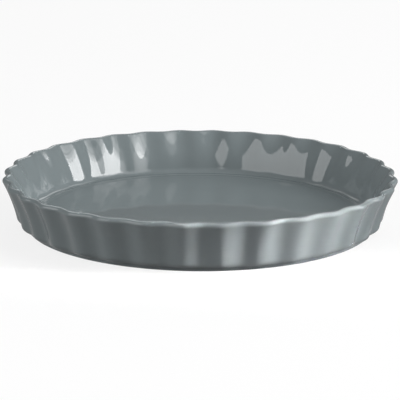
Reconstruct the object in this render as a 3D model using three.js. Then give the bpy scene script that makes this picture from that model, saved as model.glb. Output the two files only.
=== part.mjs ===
// Shallow round pie dish with a fluted wall: one pressed clay body under three coats of glaze.
// Millimetres, +Z up. The origin is on the table, under the centre of the dish.
import * as THREE from 'three';

// Outside of the finished dish
const RIM_DIAMETER = 320; // across opposite flute crests, at the widest part of the lip
const HEIGHT = 42; // table to the top of the lip
const BASE_DIAMETER = 294; // lower end of the wall, half way between crest and valley
const OUTER_BOW = 0.9; // how far the outside of the wall bows in half way up, so that it flares to the lip
const FOOT_DIAMETER = 281; // smooth band below the flutes
const FOOT_BAND_HEIGHT = 2.8; // table to the crease where the flutes begin
const FLUTE_END_RISE = 5.4; // height in which the flutes swell out from the foot band

// Flutes
const FLUTE_COUNT = 32;
const FLUTE_DEPTH = 3.5; // crest to valley at the lip and on the outside, measured along the radius
const INNER_FLUTE_END = 0.9; // crest to valley at the lower end of the inside of the wall
const STEPS_PER_FLUTE = 6; // facets along one flute

// Inside of the finished dish
const LIP_WIDTH = 5; // thickness of the wall at the lip, which rounds it over
const FLOOR_HEIGHT = 8.7; // table to the inside floor
const FLOOR_DIAMETER = 268; // flat part of the floor
const FLOOR_FILLET = 5.8; // round between the floor and the wall
const INNER_BOW = 1.5; // how far the inside of the wall bows in half way up

// Underside
const FOOT_WIDTH = 7; // flat ring that the dish stands on
const FOOT_RECESS = 2.5; // table to the glazed disc inside the ring

// Glaze
const GLAZE = 0.5; // thickness of each coat
const GLAZE_CLEARANCE = 0.2; // between a coat and the clay
const COAT_SEAM = 0.3; // between the outside and the inside coat, just inside the top of the lip
const BARE_FOOT = 1; // height of the strip of clay left bare above the table
const BARE_MARGIN = 2; // width of the ring of clay left bare round the underside coat

// Facets along each round of the section
const LIP_STEPS = 2;
const FILLET_STEPS = 2;
const FLUTE_END_STEPS = 2;

// Values worked out from the sizes above
const crest = FLUTE_DEPTH / 2;
const footRadius = FOOT_DIAMETER / 2;
const recessRadius = footRadius - FOOT_WIDTH;
const clayDepth = GLAZE + GLAZE_CLEARANCE;
const lipRadius = LIP_WIDTH / 2;
const lipCentre = new THREE.Vector2(RIM_DIAMETER / 2 - crest - lipRadius, HEIGHT - lipRadius);
const wallBase = new THREE.Vector2(BASE_DIAMETER / 2, FOOT_BAND_HEIGHT + FLUTE_END_RISE);
const filletCentre = new THREE.Vector2(FLOOR_DIAMETER / 2, FLOOR_HEIGHT + FLOOR_FILLET);

// Angles round the lip
const lipOuter = 0;
const lipTop = Math.PI / 2;
const lipInner = Math.PI;
const seamAngle = 2 * Math.asin(COAT_SEAM / 2 / (lipRadius - GLAZE));

// The inside of the wall leans out more than the outside: its chord runs from the lip to where it
// touches the fillet.
const innerReach = new THREE.Vector2(lipCentre.x - lipRadius, lipCentre.y).sub(filletCentre);
const innerLean = Math.atan2(innerReach.x, innerReach.y) - Math.asin(FLOOR_FILLET / innerReach.length());

// A point of the finished section: radius, height, the direction out of the material, and how much
// of the flute depth it follows.
function station(radius, height, outward, flute) {
  return { radius, height, outward, flute };
}

// The same point below the finished surface.
function sunk({ radius, height, outward, flute }, depth) {
  return station(radius - depth * outward.x, height - depth * outward.y, outward, flute);
}

// Points along the round of the lip, which follows the flutes in full.
function lipRound(startAngle, endAngle) {
  const points = [];
  for (let step = 0; step <= LIP_STEPS; step += 1) {
    const angle = THREE.MathUtils.lerp(startAngle, endAngle, step / LIP_STEPS);
    const outward = new THREE.Vector2(Math.cos(angle), Math.sin(angle));
    const point = outward.clone().multiplyScalar(lipRadius).add(lipCentre);
    points.push(station(point.x, point.y, outward, 1));
  }
  return points;
}

// Points from the crease above the foot band to the base of the wall. The flutes start at nothing in
// the crease and swell out in a quarter of an ellipse.
function fluteEnds() {
  const crease = station(footRadius, FOOT_BAND_HEIGHT, new THREE.Vector2(1, -1), 0);
  const reach = wallBase.x - footRadius;
  const points = [crease];
  for (let step = 1; step <= FLUTE_END_STEPS; step += 1) {
    const angle = (step / FLUTE_END_STEPS) * (Math.PI / 2);
    const radius = footRadius + reach * Math.sin(angle);
    const height = FOOT_BAND_HEIGHT + FLUTE_END_RISE * (1 - Math.cos(angle));
    const outward = new THREE.Vector2(FLUTE_END_RISE * Math.sin(angle), -reach * Math.cos(angle));
    points.push(station(radius, height, outward.normalize(), Math.sin(angle)));
  }
  return points;
}

// Points round the fillet from the inside of the wall to the floor. The flutes have almost faded out
// where the fillet starts, and end with it.
function floorFillet() {
  const points = [];
  for (let step = 0; step <= FILLET_STEPS; step += 1) {
    const share = step / FILLET_STEPS;
    const angle = THREE.MathUtils.lerp(-innerLean, -Math.PI / 2, share);
    const outward = new THREE.Vector2(-Math.cos(angle), -Math.sin(angle));
    const point = filletCentre.clone().addScaledVector(outward, -FLOOR_FILLET);
    const flute = (1 - share) * (INNER_FLUTE_END / FLUTE_DEPTH);
    points.push(station(point.x, point.y, outward, flute));
  }
  return points;
}

// The point half way up one side of the wall, which bows in towards the axis.
function wallMiddle(lower, upper, bow) {
  const radius = (lower.radius + upper.radius) / 2 - bow;
  const height = (lower.height + upper.height) / 2;
  const outward = lower.outward.clone().add(upper.outward).normalize();
  return station(radius, height, outward, (lower.flute + upper.flute) / 2);
}

// The outside, from the crease up to the top of the lip
function outerSide() {
  const ends = fluteEnds();
  const lip = lipRound(lipOuter, lipTop);
  return [...ends, wallMiddle(ends.at(-1), lip[0], OUTER_BOW), ...lip];
}

// The inside, from a place on the lip down to the edge of the floor
function innerSide(startAngle) {
  const lip = lipRound(startAngle, lipInner);
  const fillet = floorFillet();
  return [...lip, wallMiddle(fillet[0], lip.at(-1), INNER_BOW), ...fillet];
}

// Turns a closed loop of points round the axis, with the flutes as a wave in the radius.
// A point on the axis becomes one vertex. Each four-sided facet is split along its shorter diagonal,
// so that the two sides of a coat are split alike.
function revolve(loop) {
  const around = FLUTE_COUNT * STEPS_PER_FLUTE;
  const positions = [];
  const rings = loop.map(({ radius, height, flute }) => {
    const ring = { first: positions.length / 3, count: radius === 0 ? 1 : around };
    for (let step = 0; step < ring.count; step += 1) {
      const angle = (step / around) * 2 * Math.PI;
      const waved = radius + crest * flute * Math.cos(FLUTE_COUNT * angle);
      positions.push(waved * Math.cos(angle), waved * Math.sin(angle), height);
    }
    return ring;
  });
  const pointAt = (index) => new THREE.Vector3().fromArray(positions, 3 * index);
  const distance = (from, to) => pointAt(from).distanceTo(pointAt(to));
  const triangles = [];
  const addTriangle = (...corners) => {
    if (new Set(corners).size === corners.length) {
      triangles.push(...corners);
    }
  };
  rings.forEach((ring, index) => {
    const next = rings[(index + 1) % rings.length];
    for (let step = 0; step < around; step += 1) {
      const here = ring.first + (step % ring.count);
      const beside = ring.first + ((step + 1) % ring.count);
      const ahead = next.first + (step % next.count);
      const across = next.first + ((step + 1) % next.count);
      if (distance(here, across) < distance(beside, ahead)) {
        addTriangle(here, beside, across);
        addTriangle(here, across, ahead);
      } else {
        addTriangle(here, beside, ahead);
        addTriangle(beside, across, ahead);
      }
    }
  });
  const geometry = new THREE.BufferGeometry();
  geometry.setAttribute('position', new THREE.Float32BufferAttribute(positions, 3));
  geometry.setIndex(triangles);
  geometry.computeVertexNormals();
  return geometry;
}

// A coat of glaze: the finished surface on one side, and the same surface one coat deeper on the other.
function coat(points) {
  const back = points.map((point) => sunk(point, GLAZE)).reverse();
  return revolve([...points, ...back]);
}

// The clay lies one coat and its clearance below the finished surface, but for the foot, which is bare.
function clayBody() {
  const down = new THREE.Vector2(0, -1);
  const up = new THREE.Vector2(0, 1);
  const out = new THREE.Vector2(1, 0);
  const covered = (point) => sunk(point, clayDepth);
  return revolve([
    covered(station(0, FOOT_RECESS, down, 0)),
    covered(station(recessRadius, FOOT_RECESS, down, 0)),
    station(recessRadius, 0, down, 0),
    covered(station(footRadius, 0, out, 0)),
    ...outerSide().map(covered),
    ...innerSide(lipTop).slice(1).map(covered),
    covered(station(0, FLOOR_HEIGHT, up, 0)),
  ]);
}

// Floor, fillet and inside of the wall, up to the seam in the lip
function insideGlaze() {
  const floorMiddle = station(0, FLOOR_HEIGHT, new THREE.Vector2(0, 1), 0);
  return coat([...innerSide(lipTop + seamAngle), floorMiddle]);
}

// Top of the lip and outside of the wall, down to the bare strip of the foot
function outsideGlaze() {
  const glazeLine = station(footRadius, BARE_FOOT, new THREE.Vector2(1, 0), 0);
  return coat([glazeLine, ...outerSide()]);
}

// Disc inside the foot ring
function undersideGlaze() {
  const down = new THREE.Vector2(0, -1);
  const middle = station(0, FOOT_RECESS, down, 0);
  const edge = station(recessRadius - BARE_MARGIN, FOOT_RECESS, down, 0);
  return coat([middle, edge]);
}

const glossyGrey = new THREE.MeshStandardMaterial({ color: 0x747c7e, roughness: 0.15, metalness: 0 });
const bareClay = new THREE.MeshStandardMaterial({ color: 0xcbb9a2, roughness: 0.9, metalness: 0 });

const dish = new THREE.Group();

function addPiece(name, geometry, material) {
  const piece = new THREE.Mesh(geometry, material);
  piece.name = name;
  dish.add(piece);
}

addPiece('clay_body', clayBody(), bareClay);
addPiece('inside_glaze', insideGlaze(), glossyGrey);
addPiece('outside_glaze', outsideGlaze(), glossyGrey);
addPiece('underside_glaze', undersideGlaze(), glossyGrey);

export default dish;
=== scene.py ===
"""Shallow fluted pie dish in glossy grey glaze: its surfaces, finish, studio and camera, in metres."""
import math

import bpy
import numpy as np
from mathutils import Matrix, Vector


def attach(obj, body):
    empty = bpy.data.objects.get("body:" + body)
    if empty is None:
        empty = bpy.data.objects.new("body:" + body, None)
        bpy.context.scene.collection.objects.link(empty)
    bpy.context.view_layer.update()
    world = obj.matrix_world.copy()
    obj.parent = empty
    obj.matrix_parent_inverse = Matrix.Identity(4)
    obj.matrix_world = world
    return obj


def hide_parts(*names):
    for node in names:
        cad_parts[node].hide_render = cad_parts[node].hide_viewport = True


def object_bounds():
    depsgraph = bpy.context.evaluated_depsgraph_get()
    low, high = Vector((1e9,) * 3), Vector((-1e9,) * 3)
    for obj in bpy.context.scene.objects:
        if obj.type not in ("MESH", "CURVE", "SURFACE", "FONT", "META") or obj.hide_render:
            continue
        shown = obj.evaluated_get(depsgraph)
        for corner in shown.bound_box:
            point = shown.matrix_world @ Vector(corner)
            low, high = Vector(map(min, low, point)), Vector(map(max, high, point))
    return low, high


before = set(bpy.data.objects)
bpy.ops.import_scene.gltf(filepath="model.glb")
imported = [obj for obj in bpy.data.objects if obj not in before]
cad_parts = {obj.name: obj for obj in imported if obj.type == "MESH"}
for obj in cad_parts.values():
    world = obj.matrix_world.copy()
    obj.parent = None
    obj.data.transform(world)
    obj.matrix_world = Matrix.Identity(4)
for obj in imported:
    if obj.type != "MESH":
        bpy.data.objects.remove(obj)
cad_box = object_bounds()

# Dish sizes, the same as in the solids
RIM_RADIUS = cad_box[1].x
HEIGHT = cad_box[1].z
BASE_RADIUS = 0.147
FOOT_RADIUS = 0.1405
FOOT_BAND_HEIGHT = 0.0028
FLUTE_END_RISE = 0.0054
FLUTE_COUNT = 32
FLUTE_DEPTH = 0.0035
INNER_FLUTE_END = 0.0009
LIP_WIDTH = 0.005
FLOOR_HEIGHT = 0.0087
FLOOR_RADIUS = 0.134
FLOOR_FILLET = 0.0058
FOOT_WIDTH = 0.007
FOOT_RECESS = 0.0025
BARE_MARGIN = 0.002
GLAZE = 0.0005
CLAY_DEPTH = 0.0007

# Finer shape of the finished surfaces. Each lean is measured from upright, at one end of the wall.
OUTER_FOOT_LEAN = math.radians(12.5)
OUTER_LIP_LEAN = math.radians(27)
INNER_FOOT_LEAN = math.radians(16)
INNER_LIP_LEAN = math.radians(37)
FADE_START = 0.86  # share of the way up the inner wall above which the flutes are full
FADE_POWER = 1.43
CREASE_RADIUS = 0.0007
GLAZE_LINE = 0.0004  # table to the edge of the coat
BEAD_WIDTH = 0.004
BEAD_HEIGHT = 0.00022
GROOVE_WIDTH = 0.004
GROOVE_DEPTH = 0.00008
FOOT_EDGE_RADIUS = 0.0008
CREST = FLUTE_DEPTH / 2
LIP_RADIUS = LIP_WIDTH / 2

# Unevenness of a pressed dish
PHASE_WOBBLE = math.radians(0.22)
DEPTH_WOBBLE = 0.05
RIM_SAG = 0.00025

# Mesh density: steps round the dish, then points along each part of the section
GLAZE_STEPS_PER_FLUTE = 16
CLAY_STEPS_PER_FLUTE = 10
HIDDEN_SIDE_STRIDE = 4  # the back of the coat keeps one point in four
CREASE_POINTS = 6
FLUTE_END_POINTS = 15
OUTER_WALL_POINTS = 25
LIP_POINTS = 25
INNER_WALL_POINTS = 29
FILLET_POINTS = 17
FLOOR_EDGE_POINTS = 17
FLOOR_POINTS = 9
FOOT_EDGE_POINTS = 6
COAT_EDGE_POINTS = 7
DISC_POINTS = 6

# Camera, fitted to the photographed outline
IMAGE_WIDTH_PX = 400
FOCAL_LENGTH_PX = 2293
SENSOR_WIDTH_MM = 36
CAMERA_AZIMUTH = math.radians(4.49)
CAMERA_DISTANCE = 1.8049
CAMERA_HEIGHT = 0.4884
CAMERA_PITCH = math.radians(14.567)
CAMERA_ROLL = math.radians(0.335)


# Section of the dish
def round_point(centre, radius, angle):
    """Point of a round in the section."""
    return np.array([centre[0] + radius * math.cos(angle), centre[1] + radius * math.sin(angle)])


def flared_point(lower, lower_lean, upper, upper_lean, share):
    """Point of a smooth curve between two points, with a given lean from upright at each end."""
    start = np.array([math.sin(lower_lean), math.cos(lower_lean)])
    end = np.array([math.sin(upper_lean), math.cos(upper_lean)])
    gap = upper - lower
    reach = (gap[0] * end[1] - gap[1] * end[0]) / (start[0] * end[1] - start[1] * end[0])
    corner = lower + reach * start
    return (1 - share) ** 2 * lower + 2 * share * (1 - share) * corner + share ** 2 * upper


class Section:
    """Points of the finished section: radius, height and how much of the flute depth each follows."""

    def __init__(self):
        self.lip_centre = np.array([RIM_RADIUS - CREST - LIP_RADIUS, HEIGHT - LIP_RADIUS])
        self.outer_top = round_point(self.lip_centre, LIP_RADIUS, -OUTER_LIP_LEAN)
        self.outer_base = np.array([BASE_RADIUS, FOOT_BAND_HEIGHT + FLUTE_END_RISE])
        self.inner_top = round_point(self.lip_centre, LIP_RADIUS, math.pi - INNER_LIP_LEAN)
        self.fillet_centre = np.array([FLOOR_RADIUS, FLOOR_HEIGHT + FLOOR_FILLET])
        self.inner_base = round_point(self.fillet_centre, FLOOR_FILLET, -INNER_FOOT_LEAN)

    def foot_band(self):
        """Smooth band from the glaze line up into the crease below the flutes."""
        crease_centre = np.array([FOOT_RADIUS + CREASE_RADIUS, FOOT_BAND_HEIGHT - CREASE_RADIUS])
        points = [(FOOT_RADIUS, GLAZE_LINE, 0.0)]
        for angle in np.linspace(math.pi, math.pi / 2, CREASE_POINTS):
            points.append((*round_point(crease_centre, CREASE_RADIUS, angle), 0.0))
        return points

    def flute_ends(self):
        """Rounded lower ends of the flutes, from the crease to the base of the wall."""
        start = np.array([FOOT_RADIUS + CREASE_RADIUS, FOOT_BAND_HEIGHT])
        reach = self.outer_base - start
        steepness = math.tan(OUTER_FOOT_LEAN) * reach[1] / reach[0]
        end_angle = math.acos(steepness / (1 - steepness))
        points = []
        for share in np.linspace(0, 1, FLUTE_END_POINTS)[1:-1]:
            angle = share * end_angle
            out = reach[0] * math.sin(angle) / math.sin(end_angle)
            up = reach[1] * (1 - math.cos(angle)) / (1 - math.cos(end_angle))
            points.append((start[0] + out, start[1] + up, math.sin(share * math.pi / 2)))
        return points

    def outer_wall(self):
        """Outer side of the wall, which flares towards the lip."""
        points = []
        for share in np.linspace(0, 1, OUTER_WALL_POINTS):
            place = flared_point(self.outer_base, OUTER_FOOT_LEAN, self.outer_top, OUTER_LIP_LEAN, share)
            points.append((*place, 1.0))
        return points

    def lip(self):
        """Round of the lip, from the outer to the inner side of the wall."""
        points = []
        for angle in np.linspace(-OUTER_LIP_LEAN, math.pi - INNER_LIP_LEAN, LIP_POINTS)[1:-1]:
            points.append((*round_point(self.lip_centre, LIP_RADIUS, angle), 1.0))
        return points

    def inner_wall(self):
        """Inner side of the wall, on which the flutes fade towards the floor."""
        end = INNER_FLUTE_END / FLUTE_DEPTH
        points = []
        for share in np.linspace(1, 0, INNER_WALL_POINTS):
            place = flared_point(self.inner_base, INNER_FOOT_LEAN, self.inner_top, INNER_LIP_LEAN, share)
            fade = min(1, share / FADE_START) ** FADE_POWER
            points.append((*place, end + (1 - end) * fade))
        return points

    def fillet(self):
        """Round between wall and floor, in which the last of the flutes ends."""
        points = []
        for share in np.linspace(0, 1, FILLET_POINTS)[1:]:
            angle = -INNER_FOOT_LEAN + share * (INNER_FOOT_LEAN - math.pi / 2)
            fade = math.cos(share * math.pi / 2) ** 2
            place = round_point(self.fillet_centre, FLOOR_FILLET, angle)
            points.append((*place, fade * INNER_FLUTE_END / FLUTE_DEPTH))
        return points

    def floor(self):
        """Flat floor with a low bead and a shallow groove round its edge."""
        bead_end = FLOOR_RADIUS - BEAD_WIDTH
        groove_end = bead_end - GROOVE_WIDTH
        points = []
        for share in np.linspace(0, 1, FLOOR_EDGE_POINTS)[1:]:
            rise = BEAD_HEIGHT * math.sin(share * math.pi) ** 2
            points.append((FLOOR_RADIUS - share * BEAD_WIDTH, FLOOR_HEIGHT + rise, 0.0))
        for share in np.linspace(0, 1, FLOOR_EDGE_POINTS)[1:]:
            drop = GROOVE_DEPTH * math.sin(share * math.pi) ** 2
            points.append((bead_end - share * GROOVE_WIDTH, FLOOR_HEIGHT - drop, 0.0))
        for radius in np.linspace(groove_end, 0, FLOOR_POINTS)[1:]:
            points.append((radius, FLOOR_HEIGHT, 0.0))
        return points

    def glazed(self):
        """The glazed surface, from the glaze line over the lip to the middle of the floor."""
        wall = self.foot_band() + self.flute_ends() + self.outer_wall() + self.lip()
        return np.array(wall + self.inner_wall() + self.fillet() + self.floor())


def sunk(points, depth):
    """The same points below the surface. A point on the axis stays on it."""
    along = np.gradient(points[:, :2], axis=0)
    along /= np.linalg.norm(along, axis=1, keepdims=True)
    lower = points.copy()
    lower[:, 0] -= depth * along[:, 1]
    lower[:, 1] += depth * along[:, 0]
    lower[points[:, 0] == 0, 0] = 0
    return lower


# Mesh making
def dish_points(section, steps_per_flute):
    """Turns section points round the axis, with the flutes and the slight unevenness of a pressed dish.

    The unevenness is a few slow waves round the dish, each with its own count and starting angle.
    """
    around = FLUTE_COUNT * steps_per_flute
    angle = np.arange(around) * 2 * math.pi / around
    shift = PHASE_WOBBLE * (np.sin(3 * angle + 0.7) + 0.6 * np.sin(5 * angle + 2.1))
    depth = CREST * (1 - DEPTH_WOBBLE * (1 + np.sin(7 * angle + 0.4)))
    wave = depth * np.cos(FLUTE_COUNT * (angle + shift))
    sag = RIM_SAG * (1 + np.sin(2 * angle + 1.0)) / 2
    radius = section[:, None, 0] + section[:, None, 2] * wave[None]
    height = section[:, None, 1] * (1 - sag[None] / HEIGHT)
    return np.stack([radius * np.cos(angle), radius * np.sin(angle), height], axis=-1)


def revolved_mesh(name, loop, steps_per_flute):
    """A closed mesh from a closed loop of section points. A point on the axis becomes one vertex."""
    grid = dish_points(loop, steps_per_flute)
    around = grid.shape[1]
    vertices = []
    rings = []
    for row, (radius, _, _) in zip(grid, loop):
        count = 1 if radius == 0 else around
        rings.append(len(vertices) + np.arange(around) % count)
        vertices.extend(row[:count].tolist())
    faces = []
    for ring, following in zip(rings, rings[1:] + rings[:1]):
        corners = np.stack([ring, np.roll(ring, -1), np.roll(following, -1), following], axis=1)
        for face in corners.tolist():
            face = list(dict.fromkeys(face))
            if len(face) > 2:
                faces.append(face)
    mesh = bpy.data.meshes.new(name)
    mesh.from_pydata(vertices, [], faces)
    mesh.validate()
    mesh.shade_smooth()
    piece = bpy.data.objects.new(name, mesh)
    bpy.context.scene.collection.objects.link(piece)
    return piece


def glaze_coat(section):
    """One unbroken coat over outside, lip and inside, with a rounded edge at the glaze line."""
    front = section.glazed()
    back = sunk(front, GLAZE)[::-HIDDEN_SIDE_STRIDE]
    middle = (FOOT_RADIUS - GLAZE / 2, GLAZE_LINE)
    edge = []
    for angle in np.linspace(math.pi, 2 * math.pi, COAT_EDGE_POINTS)[1:-1]:
        edge.append((*round_point(middle, GLAZE / 2, angle), 0.0))
    return revolved_mesh("glaze_coat", np.array([*edge, *front, *back]), GLAZE_STEPS_PER_FLUTE)


def clay_body(section):
    """The clay under the glaze, with its bare foot ring."""
    covered = sunk(section.glazed(), CLAY_DEPTH)
    outer = covered[0, 0]
    inner = FOOT_RADIUS - FOOT_WIDTH
    recess = FOOT_RECESS + CLAY_DEPTH
    loop = [(0, recess, 0), (inner / 2, recess, 0), (inner, recess, 0)]
    inner_centre = (inner + FOOT_EDGE_RADIUS, FOOT_EDGE_RADIUS)
    for angle in np.linspace(math.pi, math.pi * 1.5, FOOT_EDGE_POINTS):
        loop.append((*round_point(inner_centre, FOOT_EDGE_RADIUS, angle), 0))
    outer_centre = (outer - FOOT_EDGE_RADIUS, FOOT_EDGE_RADIUS)
    for angle in np.linspace(math.pi * 1.5, math.pi * 2, FOOT_EDGE_POINTS):
        loop.append((*round_point(outer_centre, FOOT_EDGE_RADIUS, angle), 0))
    return revolved_mesh("clay_body_bare", np.array([*loop, *covered[1:]]), CLAY_STEPS_PER_FLUTE)


def underside_disc():
    """Disc of glaze inside the foot ring, with a rounded edge."""
    edge = FOOT_RADIUS - FOOT_WIDTH - BARE_MARGIN - GLAZE / 2
    loop = [(radius, FOOT_RECESS, 0) for radius in np.linspace(0, edge, DISC_POINTS)]
    for angle in np.linspace(-math.pi / 2, math.pi / 2, COAT_EDGE_POINTS)[1:-1]:
        loop.append((*round_point((edge, FOOT_RECESS + GLAZE / 2), GLAZE / 2, angle), 0))
    loop += [(radius, FOOT_RECESS + GLAZE, 0) for radius in np.linspace(edge, 0, DISC_POINTS)]
    return revolved_mesh("underside_glaze_disc", np.array(loop), CLAY_STEPS_PER_FLUTE)


# Materials
GLAZE_DARK = (0.150, 0.176, 0.182)
GLAZE_LIGHT = (0.166, 0.193, 0.199)
CLAY_DARK = (0.38, 0.29, 0.21)
CLAY_LIGHT = (0.62, 0.50, 0.38)


def new_material(name):
    """A node material, its tree and its shader."""
    material = bpy.data.materials.new(name)
    material.use_nodes = True
    tree = material.node_tree
    return material, tree, tree.nodes["Principled BSDF"]


def noise(tree, scale, detail=2.0, roughness=0.5):
    """Noise in the object's own space."""
    place = tree.nodes.new("ShaderNodeTexCoord")
    texture = tree.nodes.new("ShaderNodeTexNoise")
    texture.inputs["Scale"].default_value = scale
    texture.inputs["Detail"].default_value = detail
    texture.inputs["Roughness"].default_value = roughness
    tree.links.new(place.outputs["Object"], texture.inputs["Vector"])
    return texture.outputs["Fac"]


def ramp(tree, factor, stops):
    """Colour ramp through (position, colour) stops."""
    node = tree.nodes.new("ShaderNodeValToRGB")
    elements = node.color_ramp.elements
    for element, (position, colour) in zip(elements, stops):
        element.position = position
        element.color = (*colour, 1)
    tree.links.new(factor, node.inputs["Fac"])
    return node.outputs["Color"]


def span(tree, factor, low, high):
    """Maps 0 to 1 onto low to high."""
    node = tree.nodes.new("ShaderNodeMapRange")
    node.inputs["To Min"].default_value = low
    node.inputs["To Max"].default_value = high
    tree.links.new(factor, node.inputs["Value"])
    return node.outputs["Result"]


def bump(tree, height, strength, distance, base=None):
    """Bump from a height, on top of another bump if one is given."""
    node = tree.nodes.new("ShaderNodeBump")
    node.inputs["Strength"].default_value = strength
    node.inputs["Distance"].default_value = distance
    tree.links.new(height, node.inputs["Height"])
    if base is not None:
        tree.links.new(base, node.inputs["Normal"])
    return node.outputs["Normal"]


def grey_glaze():
    """Glossy opaque grey glaze, slightly uneven in colour, gloss and surface."""
    material, tree, shader = new_material("grey_glaze")
    colour = ramp(tree, noise(tree, 14, 4), [(0.3, GLAZE_DARK), (0.7, GLAZE_LIGHT)])
    tree.links.new(colour, shader.inputs["Base Color"])
    tree.links.new(span(tree, noise(tree, 60), 0.03, 0.07), shader.inputs["Roughness"])
    shader.inputs["IOR"].default_value = 1.5
    slow = bump(tree, noise(tree, 35, 1), 0.06, 0.002)
    tree.links.new(bump(tree, noise(tree, 900, 2), 0.015, 0.0002, slow), shader.inputs["Normal"])
    return material


def bare_clay():
    """Matte fired clay with fine grain and darker specks."""
    material, tree, shader = new_material("bare_clay")
    grain = noise(tree, 700, 6, 0.65)
    colour = ramp(tree, grain, [(0.32, CLAY_DARK), (0.55, CLAY_LIGHT)])
    tree.links.new(colour, shader.inputs["Base Color"])
    tree.links.new(span(tree, noise(tree, 200), 0.75, 0.95), shader.inputs["Roughness"])
    tree.links.new(bump(tree, grain, 0.35, 0.0003), shader.inputs["Normal"])
    return material


# Studio
FLOOR_SIZE = 14
FLOOR_SEEN = 0.8
FLOOR_BOUNCE = 0.17
FLOOR_WHITENESS = 0.8
REFLECTED_WHITENESS = 0.3
WORLD_LOW = 0.09
WORLD_HIGH = 0.25

# Key light. Each strip has a share of its radiance. Angles are in degrees.
KEY_AZIMUTH = -12.4
KEY_ELEVATION = 20
KEY_DISTANCE = 2.34
KEY_WIDTH = 1.18
KEY_HEIGHT = 1.08
KEY_RADIANCE = 11
KEY_TOP_SHARES = (0.68, 0.4, 0.18, 0.06)
KEY_TOP_START = 35.5
KEY_TOP_STEP = 4.5
KEY_TOP_HEIGHT = 0.184
KEY_SIDE_SHARES = (0.24, 0.2, 0.12)
KEY_SIDE_START = -29.6
KEY_SIDE_STEP = 6
KEY_SIDE_WIDTH = 0.245

# Narrow beam along the near side of the wall
BEAM_TARGET = (0.05, -0.137, 0.02)
BEAM_SIZE = 0.12
BEAM_SPREAD = math.radians(12)
BEAM_COLOUR = (1, 0.94, 0.93)


def studio_direction(azimuth, elevation):
    """Direction from the dish: azimuth 0 is to the camera's right and -90 towards the camera."""
    turn = math.radians(azimuth) + CAMERA_AZIMUTH
    rise = math.radians(elevation)
    return Vector((math.cos(turn) * math.cos(rise), math.sin(turn) * math.cos(rise), math.sin(rise)))


def softbox(name, azimuth, elevation, distance, width, height, radiance, target=(0, 0, 0)):
    """Rectangular light that faces a place on the dish. Radiance 1 shows as white."""
    data = bpy.data.lights.new(name, "AREA")
    data.shape = "RECTANGLE"
    data.size = width
    data.size_y = height
    data.energy = radiance * math.pi * width * height
    light = bpy.data.objects.new(name, data)
    outward = studio_direction(azimuth, elevation)
    light.location = Vector(target) + outward * distance
    light.rotation_mode = "QUATERNION"
    light.rotation_quaternion = (-outward).to_track_quat("-Z", "Y")
    bpy.context.scene.collection.objects.link(light)
    return light


def key_light():
    """Large light at the right, which fades out in strips above and on the side of the camera."""
    softbox("key_softbox", KEY_AZIMUTH, KEY_ELEVATION, KEY_DISTANCE, KEY_WIDTH, KEY_HEIGHT, KEY_RADIANCE)
    for step, share in enumerate(KEY_TOP_SHARES):
        rise = KEY_TOP_START + KEY_TOP_STEP * step
        radiance = KEY_RADIANCE * share
        softbox(f"key_top_{step}", KEY_AZIMUTH, rise, KEY_DISTANCE, KEY_WIDTH, KEY_TOP_HEIGHT, radiance)
    for step, share in enumerate(KEY_SIDE_SHARES):
        turn = KEY_SIDE_START - KEY_SIDE_STEP * step
        radiance = KEY_RADIANCE * share
        softbox(f"key_side_{step}", turn, KEY_ELEVATION, KEY_DISTANCE, KEY_SIDE_WIDTH, KEY_HEIGHT, radiance)
    softbox("key_halo", azimuth=-20, elevation=28, distance=2.5, width=2.3, height=2.2, radiance=1)


def side_beam():
    """Narrow beam that draws light streaks down the near flutes and isn't seen in reflections."""
    beam = softbox("side_beam", azimuth=-11, elevation=20, distance=0.7, width=BEAM_SIZE, height=BEAM_SIZE,
                   radiance=3.1, target=BEAM_TARGET)
    beam.data.color = BEAM_COLOUR
    beam.data.spread = BEAM_SPREAD
    beam.visible_glossy = False


def make_lights():
    """Key light, three softer panels and the side beam."""
    key_light()
    softbox("upper_softbox", azimuth=-15, elevation=56, distance=2.3, width=1.2, height=0.9, radiance=1.9)
    softbox("left_panel", azimuth=-148.5, elevation=23.5, distance=1.86,
            width=2.06, height=1.48, radiance=2.8)
    softbox("rear_panel", azimuth=88, elevation=36, distance=2.2, width=1.4, height=1.1, radiance=2.4)
    side_beam()


def make_world():
    """Dim grey surroundings, darker low down than overhead."""
    world = bpy.data.worlds.new("surroundings")
    world.use_nodes = True
    tree = world.node_tree
    place = tree.nodes.new("ShaderNodeTexCoord")
    split = tree.nodes.new("ShaderNodeSeparateXYZ")
    tree.links.new(place.outputs["Generated"], split.inputs["Vector"])
    level = span(tree, split.outputs["Z"], WORLD_LOW, WORLD_HIGH)
    tree.links.new(level, tree.nodes["Background"].inputs["Strength"])
    tree.nodes["Background"].inputs["Color"].default_value = (1, 1, 1, 1)
    bpy.context.scene.world = world


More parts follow.
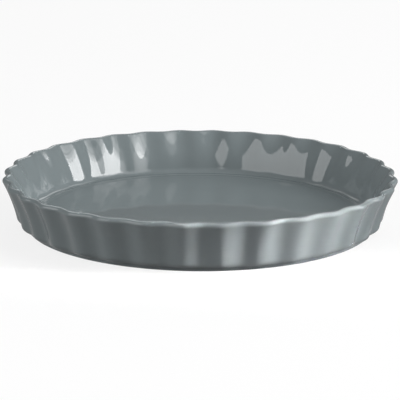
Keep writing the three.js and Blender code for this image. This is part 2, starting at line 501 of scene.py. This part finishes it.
def make_floor():
    """Pale floor, near white to the camera and greyer in reflections, which keeps the dish's shadow."""
    half = FLOOR_SIZE / 2
    mesh = bpy.data.meshes.new("floor")
    corners = [(-half, -half, 0), (half, -half, 0), (half, half, 0), (-half, half, 0)]
    mesh.from_pydata(corners, [], [(0, 1, 2, 3)])
    floor = bpy.data.objects.new("floor", mesh)
    bpy.context.scene.collection.objects.link(floor)
    material, tree, shader = new_material("pale_floor")
    shader.inputs["Roughness"].default_value = 1
    shader.inputs["Specular IOR Level"].default_value = 0
    white = tree.nodes.new("ShaderNodeEmission")
    path = tree.nodes.new("ShaderNodeLightPath")
    grey = span(tree, path.outputs["Is Camera Ray"], FLOOR_BOUNCE, FLOOR_SEEN)
    tree.links.new(grey, shader.inputs["Base Color"])
    whiteness = span(tree, path.outputs["Is Camera Ray"], 0, FLOOR_WHITENESS)
    for ray in ("Is Glossy Ray", "Is Transmission Ray"):
        either = tree.nodes.new("ShaderNodeMath")
        either.operation = "MAXIMUM"
        tree.links.new(whiteness, either.inputs[0])
        tree.links.new(span(tree, path.outputs[ray], 0, REFLECTED_WHITENESS), either.inputs[1])
        whiteness = either.outputs["Value"]
    mix = tree.nodes.new("ShaderNodeMixShader")
    tree.links.new(whiteness, mix.inputs["Fac"])
    tree.links.new(shader.outputs["BSDF"], mix.inputs[1])
    tree.links.new(white.outputs["Emission"], mix.inputs[2])
    tree.links.new(mix.outputs["Shader"], tree.nodes["Material Output"].inputs["Surface"])
    mesh.materials.append(material)


def make_camera():
    """Camera at the photograph's viewing angle."""
    data = bpy.data.cameras.new("photo_camera")
    data.sensor_width = SENSOR_WIDTH_MM
    data.lens = FOCAL_LENGTH_PX / IMAGE_WIDTH_PX * SENSOR_WIDTH_MM
    camera = bpy.data.objects.new("photo_camera", data)
    turn = Matrix.Rotation(CAMERA_AZIMUTH, 4, "Z")
    place = Matrix.Translation((0, -CAMERA_DISTANCE, CAMERA_HEIGHT))
    tilt = Matrix.Rotation(math.pi / 2 - CAMERA_PITCH, 4, "X")
    camera.matrix_world = turn @ place @ tilt @ Matrix.Rotation(CAMERA_ROLL, 4, "Z")
    bpy.context.scene.collection.objects.link(camera)
    bpy.context.scene.camera = camera


# Dish
section = Section()
glaze = grey_glaze()
clay = bare_clay()

coat = glaze_coat(section)
coat.data.materials.append(glaze)
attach(coat, "root")
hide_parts("inside_glaze", "outside_glaze")

body = clay_body(section)
body.data.materials.append(clay)
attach(body, "root")
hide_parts("clay_body")

disc = underside_disc()
disc.data.materials.append(glaze)
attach(disc, "root")
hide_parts("underside_glaze")

# Studio and camera
make_floor()
make_lights()
make_world()
make_camera()
bpy.context.scene.view_settings.view_transform = "Standard"
